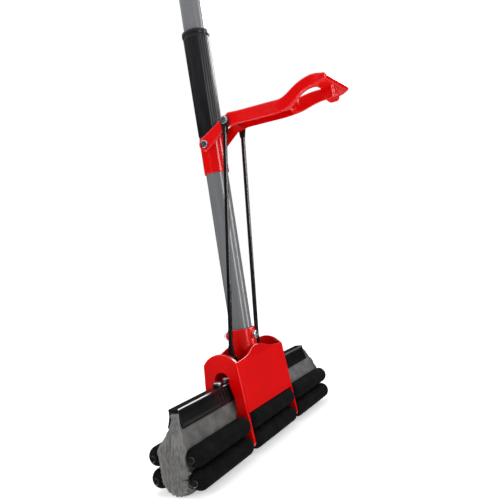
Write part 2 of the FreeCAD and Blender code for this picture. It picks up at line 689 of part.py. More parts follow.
def make_lift_bracket():
    """Strip screwed to the channel, with two lugs beside the rods' lower eyes."""
    top = CHANNEL_TOP + BRACKET_THICKNESS
    strip_end = BRACKET_HALF_LENGTH - BRACKET_HALF_WIDTH
    strip_low = Vector(-strip_end, -BRACKET_HALF_WIDTH, CHANNEL_TOP)
    pieces = [box(strip_low, Vector(strip_end, BRACKET_HALF_WIDTH, top))]
    for side in (-1, 1):
        end = Vector(side * strip_end, 0, CHANNEL_TOP)
        pieces.append(cylinder(BRACKET_HALF_WIDTH, end, end + Vector(0, 0, BRACKET_THICKNESS)))
        low_x, high_x = sorted((side * LUG_INNER_X, side * LUG_OUTER_X))
        low = Vector(low_x, -LUG_HALF_WIDTH, CHANNEL_TOP)
        high = Vector(high_x, LUG_HALF_WIDTH, ROD_BOTTOM_Z)
        pieces.append(box(low, high))
        pieces.append(cylinder(LUG_HALF_WIDTH, Vector(low_x, 0, high.z), Vector(high_x, 0, high.z)))
    bracket = fused(pieces)
    bracket = bracket.cut(cylinder(LUG_PIN_R, Vector(-60, 0, ROD_BOTTOM_Z), Vector(60, 0, ROD_BOTTOM_Z)))
    for x in BRACKET_SCREW_X:
        for side in (-1, 1):
            low = Vector(side * x, 0, CHANNEL_TOP - 1)
            bracket = bracket.cut(cylinder(AXLE_R + BORE_CLEARANCE, low, low + Vector(0, 0, 10)))
    return bracket


def make_bracket_screws():
    screws = []
    for x in BRACKET_SCREW_X:
        for side in (-1, 1):
            seat = Vector(side * x, 0, CHANNEL_TOP + BRACKET_THICKNESS)
            screws.append(pan_screw(seat, Vector(0, 0, 1), AXLE_R, BRACKET_THICKNESS + 3.4))
    return Part.makeCompound(screws)


def make_lug_pins():
    """Pins of the lugs, flush with the lug on the rod's side."""
    pins = []
    for side in (-1, 1):
        inner = Vector(side * (LUG_INNER_X - LUG_PIN_HEAD_HEIGHT), 0, ROD_BOTTOM_Z)
        seat = Vector(side * (LUG_INNER_X - SEAT_GAP), 0, ROD_BOTTOM_Z)
        outer = Vector(side * LUG_OUTER_X, 0, ROD_BOTTOM_Z)
        pins.append(fused([cylinder(LUG_PIN_HEAD_R, inner, seat), cylinder(LUG_PIN_R, inner, outer)]))
    return Part.makeCompound(pins)


os.makedirs("parts", exist_ok=True)

save("lower_tube", make_lower_tube())
save("upper_tube", tube(TUBE_JOINT + JOINER_COLLAR_HALF, TUBE_TOP))
save("tube_joiner", make_tube_joiner())
save("hand_grip", make_hand_grip())
save("hanging_cap", make_hanging_cap())
save("lever_bracket", make_lever_bracket())
save("pivot_bolt", make_pivot_bolt())
save("pivot_nut", make_pivot_nut())
save("lever", make_lever())

rod_screw = make_rod_screw()
save("rod_screw_left", rod_screw)
save("rod_screw_right", other_side(rod_screw))
pull_rod = make_pull_rod()
save("pull_rod_left", pull_rod)
save("pull_rod_right", other_side(pull_rod))

save("wringer_housing", make_wringer_housing())
save("socket_bolt", make_socket_bolt())
save("socket_nut", make_socket_nut())

axle_caps = []
for row, row_z in ROLLER_ROWS.items():
    for face, row_y in (("front", -ROLLER_Y), ("back", ROLLER_Y)):
        save("axle_" + face + "_" + row, make_axle(row_y, row_z))
        axle_caps += [make_axle_cap(side, row_y, row_z) for side in (-1, 1)]
        for place, span in roller_spans().items():
            save("roller_" + face + "_" + row + "_" + place, make_roller(span, row_y, row_z))
save("axle_caps", Part.makeCompound(axle_caps))

save("sponge_channel", make_sponge_channel())
save("sponge", make_sponge())
save("lift_bracket", make_lift_bracket())
save("bracket_screws", make_bracket_screws())
save("lug_pins", make_lug_pins())
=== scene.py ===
import json
import math

import bpy
from mathutils import Matrix, Vector, noise


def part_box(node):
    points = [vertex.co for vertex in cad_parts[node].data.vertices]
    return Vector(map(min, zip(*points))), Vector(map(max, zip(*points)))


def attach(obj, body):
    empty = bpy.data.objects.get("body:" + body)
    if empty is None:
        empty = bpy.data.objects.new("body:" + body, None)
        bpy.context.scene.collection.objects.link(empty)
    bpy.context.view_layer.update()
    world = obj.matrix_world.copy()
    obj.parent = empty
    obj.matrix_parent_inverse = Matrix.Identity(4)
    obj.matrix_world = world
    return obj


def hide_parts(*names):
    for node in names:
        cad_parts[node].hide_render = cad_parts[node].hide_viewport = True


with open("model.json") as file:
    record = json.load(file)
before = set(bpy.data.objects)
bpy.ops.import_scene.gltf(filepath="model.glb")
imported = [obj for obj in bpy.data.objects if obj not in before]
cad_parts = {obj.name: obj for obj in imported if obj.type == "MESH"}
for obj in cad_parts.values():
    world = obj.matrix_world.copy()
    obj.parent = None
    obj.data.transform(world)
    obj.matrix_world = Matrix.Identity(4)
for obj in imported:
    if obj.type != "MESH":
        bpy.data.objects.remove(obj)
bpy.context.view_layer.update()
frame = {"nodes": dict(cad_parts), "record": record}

# Looks of the roller sponge mop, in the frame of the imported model.
# Meshes are worked out in millimetres, and MM turns them into metres.
# Material scales, lamps and the camera are in metres.

MM = 0.001
MICRON = 0.000001
nodes = frame["nodes"]


def box(node):
    """Low and high corners of a part's box, in millimetres."""
    return [Vector(corner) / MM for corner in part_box(node)]


# Outer rollers: their axes as (distance from the middle, height), and where they end
ROLLER_BOXES = [box("roller_front_upper_left"), box("roller_front_lower_left")]
ROLLER_AXES = [(abs(low.y + high.y) / 2, (low.z + high.z) / 2) for low, high in ROLLER_BOXES]
ROLLER_END = box("roller_front_upper_right")[1].x
ROLLER_RADIUS = 9.5
ROLLER_END_RADIUS = 3.5
# Room for the axles' caps beyond the rollers
AXLE_CAP_RADIUS = 3.6

# Edge wear, which on the red plastic is also a painted highlight along edges: cosine between the
# rounded and the true normal, on a sharp edge and on a flat face
SHARP_EDGE = 0.80
FLAT_FACE = 0.995
BEVEL_SAMPLES = 6

# Places of the colour sockets on a Mix node
MIX_FACTOR = 0
MIX_FIRST = 6
MIX_SECOND = 7
MIX_RESULT = 2

# Hand grip
GRIP_SEGMENTS = 192
GRIP_STEPS = 24
GRIP_CLEARANCE = 0.05
GRIP_FLUTES = 16
GRIP_FLUTE_DEPTH = 0.24
GRIP_FLUTE_POWER = 0.7
# Outline above the grip's foot, as (radius, height above it, share of the flutes' depth)
GRIP_FOOT = ((13.0, 0.0, 0), (13.9, 1.2, 0), (14.15, 3.0, 0), (14.18, 5.0, 0.4), (14.22, 8.0, 1.0))
# Outline below the flange, as (radius, distance below the grip's top, share of the flutes' depth)
GRIP_NECK = ((14.9, 10.0, 1.0), (14.9, 8.2, 0.3), (14.85, 7.4, 0), (14.4, 6.9, 0), (14.4, 6.3, 0),
             (15.2, 6.0, 0))
# Outline of the flange, as (distance inside its rim, distance below the grip's top)
GRIP_FLANGE = ((0.1, 5.4), (0.0, 4.6), (0.0, 1.6), (0.25, 0.7), (0.8, 0.1))
GRIP_MOUTH_RADIUS = 14.2

# Screws
SCREW_HEAD_RADIUS = 4.4
BRACKET_SCREW_INNER = 47.3
SOCKET_SEGMENTS = 72
# Driver socket, as (half its width, depth below the head's top, whether its outline is a hexagon)
SOCKET_LEVELS = ((1.98, 1.18, False), (1.98, 0.22, False), (1.86, 0.08, False),
                 (1.42, 0.08, True), (1.25, 0.26, True), (1.25, 1.18, True))

# Sponge mesh
SPONGE_POINTS_AROUND = 420
SPONGE_STEP = 3.0
SPONGE_END_STEP = 0.7
SPONGE_CAP_RINGS = 22
CURVE_STEPS = 16
# The sections are SPONGE_STEP apart up to the first distance, then SPONGE_END_STEP to the second
SPONGE_EVEN_REACH = 138.0
SPONGE_SECTION_REACH = 155.2
SPONGE_CLEARANCE = 0.3
SPONGE_LIFT = 3.2

# Half of the section as (distance from the middle, height), from the top down
SPONGE_HALF = (
    (0.0, 72.2), (3.0, 72.2), (3.4, 70.0), (5.5, 62.8), (6.8, 58.9), (8.0, 57.4), (8.8, 54.5),
    (10.2, 50.5), (12.4, 46.8), (14.1, 43.4), (14.6, 40.5), (13.8, 37.0), (13.4, 33.5),
    (13.6, 29.0), (13.9, 24.5), (13.7, 20.0), (13.3, 15.5), (13.4, 11.0), (13.3, 7.0),
    (12.4, 3.6), (10.2, 1.2), (6.5, 0.15), (0.0, 0.0))
# How far the end reaches along the head, as (height, reach)
SPONGE_END = ((72.5, 144.8), (69.0, 147.4), (64.0, 150.0), (58.0, 152.4), (50.0, 154.7),
              (42.0, 156.0), (30.0, 156.7), (18.0, 156.7), (8.0, 156.0), (0.0, 154.4))
# From the end face back to the section that carries its rim
SPONGE_RIM_SETBACK = 1.3
# Where the sections start to follow the end's outline, and where they follow it fully
SPONGE_TAPER = (134.0, 155.4)

# The gates in the side plates hold the sponge to a half width, below a height
PLATE_X = 54.0
# Their hold fades with distance from the plate's middle
GATE_FADE = (3.0, 15.0)
GATE_HALF_WIDTH = 11.6
GATE_TOP = 62

# Slopes over which the free end takes its own shape, as (starts, ends), along the head
PAST_CHANNEL = (143.0, 150.0)
PAST_ROLLERS = (150.0, 155.0)
PAST_SHOULDER = (152.0, 155.2)
# Its changes of width, each with the slopes by height between which it holds
NECK_DRAW = 1.3
NECK_DRAWN = ((50.0, 60.0), (66.0, 72.0))
BACK_SWELL = 1.4
BACK_SWOLLEN = ((2.0, 12.0), (38.0, 52.0))
SHOULDER_SWELL = 2.8
SHOULDER_RISE = (36.0, 46.0)
# The lip that bulges at the front between the rollers
LIP_SWELL = 4.2
LIP_HEIGHT = 23.0
LIP_SPREAD = 3.0
# Changes of width fade out closer than this to the section's middle
SWELL_EDGE = 0.5
# How far the neck leans to the front
NECK_LEAN = 1.9
NECK_LEANING = ((46.0, 56.0), (67.0, 72.0))

# Waves of the squeezed foam: waves to the millimetre along, across and up,
# the heights of the broad and the fine ones, and how much closer together the fine ones are
FOAM_WAVES = (0.012, 0.11, 0.09)
FOAM_WAVE_HEIGHTS = (0.7, 0.25)
FOAM_WAVE_RATIO = 3.1
# They stop at a height, and fade out closer than a distance to the section's middle
FOAM_WAVE_TOP = 58
FOAM_WAVE_WIDTH = 4

# Ridges of the sole
TOOTH_SPACING = 4.4
TOOTH_DEPTH = 1.9
TOOTH_POWER = 1.4
# How uneven they are, and the scales of that by girth, by side and along the head
TOOTH_UNEVEN = 0.7
TOOTH_UNEVEN_SCALES = (0.21, 5.0, 0.008)
TOOTH_FADE = (20.0, 33.0)
# Height of the point that the grooves go in towards
TOOTH_CENTRE = 20.0
# Share of the depth along the head, more of it at the front of the ends, and less at their back
TOOTH_STRENGTH = 0.7
TOOTH_END_GAIN = 0.8
TOOTH_BACK_LOSS = 0.45
TOOTH_BACK_RISE = (3.0, 10.0)
# The sole's corners turn up at the ends
CORNER_LIFT = 4.0
CORNER_WIDTH = 12
CORNER_FADE = (4.0, 16.0)

# End face: how crisp its rim is, and the height and share of its pull to the middle
CAP_BULGE_POWER = 5
CAP_MIDDLE = 30.0
CAP_PULL = 0.10
# Its relief comes in from the rim, by share of the way to the middle
RELIEF_FADE = (0.0, 0.12)
RELIEF_SHARE = 0.75
RIGHT_END_SEED = 7.3
# The crease sways about a place to one side of the middle
CREASE_DEPTH = 2.6
CREASE_WIDTH = 1.1
CREASE_PLACE = 1.6
CREASE_SWAY = 1.4
CREASE_WAVE = 13.0
CREASED = ((24.0, 40.0), (60.0, 70.0))

# Colour of the ends: the reach along the head at which skin turns into the sliced face, paler
# partly by its own texture and partly by painted light, and the span of the painted highlight
# along the rim there. The end leans in above a height, so the reach counts some of that rise.
END_LEAN_START = 50
END_LEAN = 0.45
CUT_FACE_AND_PAINTED_LIGHT = (153.4, 154.6)
PAINTED_RIM_HIGHLIGHT = (153.6, 156.6)

# Studio
FLOOR_REACH = 60.0
SOFT_LIGHT = 0.62
MIRROR_BRIGHT = 1.8
# Share of the mirrored brightness, by how steeply a ray goes: -1 is straight down, 1 straight up
MIRRORED_GLOW = ((-1.0, 0.2), (-0.93, 0.2), (-0.78, 0.8), (-0.62, 0.8), (-0.32, 0.01),
                 (0.32, 0.01), (0.62, 1.0), (0.85, 1.0), (1.0, 0.4))
# Lamps as (name, place, target, width, height, power). These only light.
LIGHTING_LAMPS = (
    ("key_light", (0.45, -1.35, 0.75), (0, 0, 0.25), 0.35, 1.3, 8.0),
    ("fill_light", (-1.5, 0.5, 0.8), (0, 0, 0.2), 0.5, 1.2, 8.0),
    ("top_light", (-0.2, 0.1, 2.2), (0, 0, 0), 1.2, 1.2, 10.0))
# These only show as mirrored highlights.
MIRRORED_LAMPS = (
    ("edge_strip", (-0.55, -1.6, 0.45), (0, 0, 0.25), 0.28, 1.1, 14.0),
    ("bead_strip", (1.1, -0.3, 0.92), (0, 0, 0.08), 0.5, 0.4, 9.0),
    ("under_strip", (0.0, 0.5, -0.7), (0, -0.1, 0.36), 0.35, 0.35, 5.0),
    ("side_strip", (0.75, -1.35, 0.5), (0, 0, 0.25), 0.28, 1.3, 14.0))

# Camera
CAMERA_PLACE = Vector((-0.5673, -0.3336, 0.2010))
CAMERA_RIGHT = Vector((0.4721, -0.8680, -0.1541))
CAMERA_UP = Vector((0.0594, -0.1431, 0.9879))
CAMERA_LENS = 41.75
CAMERA_SENSOR = 36.0
CAMERA_NEAR = 0.01
CAMERA_FAR = 100.0


def smoothstep(low, high, value):
    """0 below low, 1 above high, and an even slope between them."""
    share = min(1.0, max(0.0, (value - low) / (high - low)))
    return share * share * (3 - 2 * share)


def band(rise, fall, value):
    """1 between two slopes, each given as (starts, ends), and 0 outside them."""
    return smoothstep(*rise, value) * (1 - smoothstep(*fall, value))


# Materials


def set_ramp(node, stops):
    """Puts (place, colour) stops on a new colour ramp, which comes with two."""
    elements = node.color_ramp.elements
    for _ in stops[2:]:
        elements.new(0.5)
    for element, (place, colour) in zip(elements, stops):
        element.position = place
        element.color = (*colour, 1.0)


class Finish:
    """A material with one Principled shader, and the nodes that feed it."""

    def __init__(self, name, **constants):
        self.material = bpy.data.materials.new(name)
        self.material.use_nodes = True
        self.tree = self.material.node_tree
        self.tree.nodes.clear()
        output = self.add("ShaderNodeOutputMaterial")
        self.shader = self.add("ShaderNodeBsdfPrincipled")
        self.link(self.shader.outputs["BSDF"], output.inputs["Surface"])
        self.place = self.add("ShaderNodeTexCoord").outputs["Object"]
        for socket, value in constants.items():
            self.shader.inputs[socket.replace("_", " ")].default_value = value

    def add(self, kind):
        return self.tree.nodes.new(kind)

    def link(self, source, target):
        self.tree.links.new(source, target)

    def stretched(self, scale):
        """Coordinates scaled by a factor for each axis."""
        mapping = self.add("ShaderNodeMapping")
        mapping.inputs["Scale"].default_value = scale
        self.link(self.place, mapping.inputs["Vector"])
        return mapping.outputs["Vector"]

    def noise(self, scale, detail=4.0, stretch=None):
        """Cloudy pattern from 0 to 1, scale features to the metre."""
        texture = self.add("ShaderNodeTexNoise")
        texture.inputs["Scale"].default_value = scale
        texture.inputs["Detail"].default_value = detail
        self.link(self.stretched(stretch) if stretch else self.place, texture.inputs["Vector"])
        return texture.outputs["Fac"]

    def cells(self, scale):
        """Distance to the nearest of scattered points, scale points to the metre."""
        texture = self.add("ShaderNodeTexVoronoi")
        texture.inputs["Scale"].default_value = scale
        self.link(self.place, texture.inputs["Vector"])
        return texture.outputs["Distance"]

    def edges(self, radius):
        """1 on sharp edges and 0 on flat faces."""
        bevel = self.add("ShaderNodeBevel")
        bevel.samples = BEVEL_SAMPLES
        bevel.inputs["Radius"].default_value = radius
        geometry = self.add("ShaderNodeNewGeometry")
        dot = self.add("ShaderNodeVectorMath")
        dot.operation = "DOT_PRODUCT"
        self.link(bevel.outputs["Normal"], dot.inputs[0])
        self.link(geometry.outputs["Normal"], dot.inputs[1])
        wear = ((SHARP_EDGE, (1, 1, 1)), (FLAT_FACE, (0, 0, 0)))
        return self.ramp(dot.outputs["Value"], wear)

    def ramp(self, factor, stops):
        """Colour of factor, from (place, colour) stops."""
        ramp = self.add("ShaderNodeValToRGB")
        set_ramp(ramp, stops)
        self.link(factor, ramp.inputs["Fac"])
        return ramp.outputs["Color"]

    def two_tone(self, pattern, dark, pale, low=0.3, high=0.7):
        """Colour from dark to pale as a pattern rises from low to high."""
        return self.ramp(pattern, ((low, dark), (high, pale)))

    def between(self, factor, low, high, start=0.0, end=1.0):
        """Number from low to high as factor goes from start to end."""
        spread = self.add("ShaderNodeMapRange")
        spread.inputs["From Min"].default_value = start
        spread.inputs["From Max"].default_value = end
        spread.inputs["To Min"].default_value = low
        spread.inputs["To Max"].default_value = high
        self.link(factor, spread.inputs["Value"])
        return spread.outputs["Result"]

    def mixed(self, factor, first, second, blend="MIX"):
        """Two colours mixed by factor. Each is a socket or an (r, g, b)."""
        mix = self.add("ShaderNodeMix")
        mix.data_type = "RGBA"
        mix.blend_type = blend
        for source, place in ((factor, MIX_FACTOR), (first, MIX_FIRST), (second, MIX_SECOND)):
            target = mix.inputs[place]
            if isinstance(source, bpy.types.NodeSocket):
                self.link(source, target)
            elif isinstance(source, tuple):
                target.default_value = (*source, 1.0)
            else:
                target.default_value = source
        return mix.outputs[MIX_RESULT]

    def math(self, operation, *values):
        """Result of a sum on sockets and numbers."""
        node = self.add("ShaderNodeMath")
        node.operation = operation
        for value, target in zip(values, node.inputs):
            if isinstance(value, bpy.types.NodeSocket):
                self.link(value, target)
            else:
                target.default_value = value
        return node.outputs["Value"]

    def bump(self, height, depth, strength=1.0):
        """Relief of up to depth metres."""
        bump = self.add("ShaderNodeBump")
        bump.inputs["Strength"].default_value = strength
        bump.inputs["Distance"].default_value = depth
        self.link(height, bump.inputs["Height"])
        self.link(bump.outputs["Normal"], self.shader.inputs["Normal"])

    def colour(self, socket):
        self.link(socket, self.shader.inputs["Base Color"])

    def roughness(self, scale, low, high):
        """Roughness that wanders from low to high, scale patches to the metre."""
        self.link(self.between(self.noise(scale), low, high), self.shader.inputs["Roughness"])


def make_red_plastic():
    finish = Finish("red_moulded_plastic", IOR=1.45, Specular_IOR_Level=0.4)
    clouds = finish.two_tone(finish.noise(14.0), (0.57, 0.0003, 0.0006), (0.64, 0.0006, 0.0012))
    # Paler edges: partly wear, partly a painted highlight along the edges
    finish.colour(finish.mixed(finish.edges(0.5 * MM), clouds, (0.70, 0.004, 0.004)))
    finish.roughness(60.0, 0.13, 0.22)
    finish.bump(finish.noise(260.0, 2.0), 8 * MICRON)
    return finish.material


def make_pole_paint():
    finish = Finish("pole_powder_coat", IOR=1.5, Specular_IOR_Level=0.45)
    streaks = finish.noise(30.0, 5.0, (6.0, 6.0, 0.4))
    finish.colour(finish.two_tone(streaks, (0.122, 0.127, 0.133), (0.152, 0.158, 0.166)))
    finish.roughness(120.0, 0.17, 0.27)
    finish.bump(finish.noise(1100.0, 3.0), 12 * MICRON)
    return finish.material


def make_grip_rubber():
    finish = Finish("grip_rubber", IOR=1.5, Specular_IOR_Level=0.2)
    clouds = finish.noise(45.0, 6.0, (3.0, 3.0, 0.5))
    finish.colour(finish.two_tone(clouds, (0.007, 0.007, 0.009), (0.016, 0.016, 0.019), low=0.35))
    finish.roughness(90.0, 0.20, 0.30)
    finish.bump(finish.noise(1600.0, 3.0), 15 * MICRON)
    return finish.material


def make_black_plastic():
    finish = Finish("black_moulded_plastic", IOR=1.48, Specular_IOR_Level=0.4)
    clouds = finish.two_tone(finish.noise(40.0), (0.004, 0.004, 0.0045), (0.009, 0.009, 0.010))
    finish.colour(finish.mixed(finish.edges(0.7 * MM), clouds, (0.06, 0.06, 0.062)))
    finish.roughness(70.0, 0.12, 0.22)
    finish.bump(finish.noise(300.0, 2.0, (0.3, 1.0, 1.0)), 10 * MICRON)
    return finish.material


def make_rod_coat():
    finish = Finish("rod_gloss_coat", IOR=1.55, Coat_Weight=0.6, Coat_Roughness=0.06)
    streaks = finish.noise(60.0, 4.0, (4.0, 4.0, 0.3))
    finish.colour(finish.two_tone(streaks, (0.003, 0.003, 0.0032), (0.008, 0.008, 0.0085)))
    finish.roughness(150.0, 0.16, 0.28)
    finish.bump(finish.noise(500.0, 2.0), 6 * MICRON)
    return finish.material


def make_zinc_steel():
    finish = Finish("zinc_plated_steel", Metallic=1.0)
    clouds = finish.two_tone(finish.noise(260.0), (0.30, 0.335, 0.37), (0.47, 0.51, 0.54))
    finish.colour(finish.mixed(finish.edges(0.4 * MM), clouds, (0.66, 0.69, 0.71)))
    finish.roughness(700.0, 0.20, 0.40)
    finish.bump(finish.noise(2200.0, 2.0), 6 * MICRON)
    return finish.material


# Darker steel for the screws' driver sockets: painted shade in the recess
def make_recess_painted_shade():
    finish = Finish("driver_recess_painted_shade", Metallic=1.0)
    finish.colour(finish.two_tone(finish.noise(900.0), (0.16, 0.22, 0.24), (0.30, 0.36, 0.38)))
    finish.roughness(700.0, 0.35, 0.55)
    finish.bump(finish.noise(2200.0, 2.0), 6 * MICRON)
    return finish.material


def make_roller_foam():
    finish = Finish("roller_foam", IOR=1.35, Specular_IOR_Level=0.02)
    pores = finish.cells(1500.0)
    # Dotted grain, darkest in the pores: partly the foam's own grain, partly painted shade in the
    # pores
    grain_and_painted_pore_shade = finish.ramp(pores, (
        (0.05, (0.001, 0.001, 0.001)), (0.30, (0.0034, 0.0035, 0.0036)),
        (0.75, (0.0085, 0.0088, 0.0091))))
    wear = finish.two_tone(finish.noise(70.0, 6.0), (1.0, 1.0, 1.0), (1.7, 1.7, 1.68), 0.45, 0.75)
    finish.colour(finish.mixed(1.0, grain_and_painted_pore_shade, wear, "MULTIPLY"))
    finish.roughness(300.0, 0.62, 0.85)
    finish.bump(finish.math("ADD", pores, finish.noise(900.0, 4.0)), 220 * MICRON, 0.7)
    return finish.material


def make_sponge_foam():
    """Grey foam with fine pores, more mottled on the sliced end faces. Painted light makes those
    faces paler, with a painted highlight along their rim, and painted shade darkens the pores.
    """
    finish = Finish(
        "pva_sponge", IOR=1.35, Specular_IOR_Level=0.2, Sheen_Weight=0.1, Sheen_Roughness=0.6)
    pores = finish.cells(2400.0)
    clouds = finish.noise(95.0, 9.0)
    skin = finish.two_tone(clouds, (0.085, 0.083, 0.081), (0.150, 0.148, 0.144), 0.32, 0.68)
    strands = finish.noise(620.0, 10.0, (1.0, 1.0, 0.3))
    # The sliced faces: mottled strands with pale flecks, paler overall than the skin; partly
    # texture, partly painted light
    cut_face_and_painted_light = finish.ramp(strands, (
        (0.32, (0.085, 0.084, 0.080)), (0.50, (0.125, 0.123, 0.118)),
        (0.70, (0.190, 0.188, 0.181))))
    split = finish.add("ShaderNodeSeparateXYZ")
    finish.link(finish.place, split.inputs["Vector"])
    across = finish.math("ABSOLUTE", split.outputs["X"])
    height = finish.math("SUBTRACT", split.outputs["Z"], END_LEAN_START * MM)
    reach = finish.math("MULTIPLY_ADD", finish.math("MAXIMUM", height, 0.0), END_LEAN, across)
    ends = finish.between(reach, 0.0, 1.0, *(place * MM for place in CUT_FACE_AND_PAINTED_LIGHT))
    # Darker pores: painted shade inside them
    painted_pore_shade = finish.ramp(pores, ((0.08, (0.45, 0.45, 0.45)), (0.35, (1.0, 1.0, 1.0))))
    # A pale band along the ends' rim, mixed in below: painted highlight
    rim = finish.between(reach, 0.0, 1.0, *(place * MM for place in PAINTED_RIM_HIGHLIGHT))
    pale = finish.ramp(rim, (
        (0.0, (0, 0, 0)), (0.25, (0.7, 0.7, 0.7)), (0.50, (0.7, 0.7, 0.7)), (0.72, (0, 0, 0))))
    body = finish.mixed(pale, finish.mixed(ends, skin, cut_face_and_painted_light), (0.20, 0.198, 0.191))
    finish.colour(finish.mixed(1.0, body, painted_pore_shade, "MULTIPLY"))
    finish.roughness(200.0, 0.80, 0.95)
    finish.bump(finish.math("ADD", pores, finish.noise(520.0, 8.0)), 350 * MICRON, 0.8)
    return finish.material


def make_floor_white():
    finish = Finish("pale_floor", Roughness=0.9, Specular_IOR_Level=0.1, Emission_Strength=0.45)
    finish.shader.inputs["Emission Color"].default_value = (1.0, 1.0, 1.0, 1.0)
    finish.colour(finish.two_tone(finish.noise(3.0), (0.90, 0.90, 0.90), (0.93, 0.93, 0.93)))
    return finish.material


materials = {
    "red_plastic": make_red_plastic(),
    "pole_paint": make_pole_paint(),
    "black_grip": make_grip_rubber(),
    "black_plastic": make_black_plastic(),
    "black_coated_rod": make_rod_coat(),
    "zinc_steel": make_zinc_steel(),
    "roller_foam": make_roller_foam(),
    "sponge_foam": make_sponge_foam(),
}
recess_painted_shade = make_recess_painted_shade()


def paint_cad_nodes():
    """Gives each carried-over part the finish of its own material slot."""
    for part in frame["record"]["subparts"]:
        material = materials[part["material_slot"]]
        for slot in nodes[part["node"]].material_slots:
            slot.link = "OBJECT"
            slot.material = material


# Pieces


def add_to_scene(name, data):
    """New object in the scene's own collection."""
    thing = bpy.data.objects.new(name, data)
    bpy.context.scene.collection.objects.link(thing)
    return thing


def add_piece(name, points, faces, slot_name, body):
    """Smooth mesh from points in millimetres, which rides on a body."""
    mesh = bpy.data.meshes.new(name)
    mesh.from_pydata([Vector(point) * MM for point in points], [], faces)
    mesh.validate()
    mesh.shade_smooth()
    mesh.materials.append(materials[slot_name])
    piece = add_to_scene(name, mesh)
    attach(piece, body)
    return piece


def join_rings(rings, closed):
    """Faces between rings of equally many points; closed also joins the last to the first."""
    count = len(rings[0])
    faces = []
    for index in range(len(rings) if closed else len(rings) - 1):
        first = index * count
        second = (index + 1) % len(rings) * count
        for point in range(count):
            beside = (point + 1) % count
            faces.append((first + point, first + beside, second + beside, second + point))
    return faces


def add_ringed_piece(name, rings, slot_name, body):
    """Piece from a closed loop of rings."""
    points = [point for ring in rings for point in ring]
    return add_piece(name, points, join_rings(rings, True), slot_name, body)


def grip_profile():
    """Outline of the grip as (radius, height, share of the flutes' depth)."""
    low, high = box("hand_grip")
    bottom = low.z
    top = high.z
    inner = box("lower_tube")[1].x + GRIP_CLEARANCE
    profile = [(inner, bottom, 0)]
    profile += [(radius, bottom + rise, fluted) for radius, rise, fluted in GRIP_FOOT]
    start_r, start_rise, _ = GRIP_FOOT[-1]
    end_r, end_drop, _ = GRIP_NECK[0]
    for step in range(1, GRIP_STEPS):
        share = step / GRIP_STEPS
        radius = start_r + (end_r - start_r) * share
        height = bottom + start_rise + (top - bottom - start_rise - end_drop) * share
        profile.append((radius, height, 1.0))
    profile += [(radius, top - drop, fluted) for radius, drop, fluted in GRIP_NECK]
    profile += [(high.x - inset, top - drop, 0) for inset, drop in GRIP_FLANGE]
    return profile + [(GRIP_MOUTH_RADIUS, top, 0), (inner, top, 0)]


def make_grip():
    """Sleeve with shallow flutes along it and a flange at its top."""
    rings = []
    for radius, height, fluted in grip_profile():
        ring = []
        for index in range(GRIP_SEGMENTS):
            angle = 2 * math.pi * index / GRIP_SEGMENTS
            flute = abs(math.sin(GRIP_FLUTES * angle / 2)) ** GRIP_FLUTE_POWER
            reach = radius - fluted * GRIP_FLUTE_DEPTH * (1 - flute)
            ring.append((reach * math.cos(angle), reach * math.sin(angle), height))
        rings.append(ring)
    piece = add_ringed_piece("grip_sleeve", rings, "black_grip", "handle")
    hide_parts("hand_grip")


def hexagon(angle, flat):
    """Distance from a hexagon's centre to its side in a direction; flat is half its width."""
    return flat / math.cos((angle + math.pi / 6) % (math.pi / 3) - math.pi / 6)


def make_screw_socket(name, head_top, direction, body):
    """Hexagon socket that fills the round recess of a pan-head screw."""
    side = direction.orthogonal().normalized()
    other = direction.cross(side)
    rings = []
    for half_width, depth, is_hexagon in SOCKET_LEVELS:
        ring = []
        for index in range(SOCKET_SEGMENTS):
            angle = 2 * math.pi * index / SOCKET_SEGMENTS
            out = side * math.cos(angle) + other * math.sin(angle)
            reach = hexagon(angle, half_width) if is_hexagon else half_width
            ring.append(head_top + out * reach - direction * depth)
        rings.append(ring)
    piece = add_ringed_piece(name, rings, "zinc_steel", body)
    # The socket is darker than the head: painted shade in the recess
    piece.material_slots[0].material = recess_painted_shade


def make_screw_sockets():
    """A socket in each screw head, at the head's own top."""
    for node, direction, body in (
            ("pivot_bolt", Vector((-1, 0, 0)), "handle"),
            ("socket_bolt", Vector((0, -1, 0)), "handle"),
            ("rod_screw_left", Vector((-1, 0, 0)), "wringing_lever"),
            ("rod_screw_right", Vector((1, 0, 0)), "wringing_lever")):
        low, high = box(node)
        centre = (low + high) / 2
        tip = high if sum(direction) > 0 else low
        top = Vector([tip[axis] if direction[axis] else centre[axis] for axis in range(3)])
        make_screw_socket(node + "_socket", top, direction, body)
    high = box("bracket_screws")[1]
    outer = high.x - SCREW_HEAD_RADIUS
    inner = BRACKET_SCREW_INNER
    up = Vector((0, 0, 1))
    for number, x in enumerate((-outer, -inner, inner, outer), 1):
        name = f"bracket_screw_socket_{number}"
        make_screw_socket(name, Vector((x, 0, high.z)), up, "sponge_carriage")


# Sponge


def along(table, value):
    """Value read from a table of (place, value) pairs whose places fall."""
    if value >= table[0][0]:
        return table[0][1]
    for (high, first), (low, second) in zip(table, table[1:]):
        if value >= low:
            share = (high - value) / (high - low)
            return first + (second - first) * share
    return table[-1][1]


def distances_along(points):
    """Distance of each point from the first, along the line through them."""
    lengths = [0.0]
    for first, second in zip(points, points[1:]):
        lengths.append(lengths[-1] + math.dist(first, second))
    return lengths


def spline(a, b, c, d, t):
    """Catmull-Rom curve through four numbers, at a share t of the way from b to c."""
    square = 2 * a - 5 * b + 4 * c - d
    cube = 3 * b - a - 3 * c + d
    return 0.5 * (2 * b + (c - a) * t + square * t * t + cube * t ** 3)


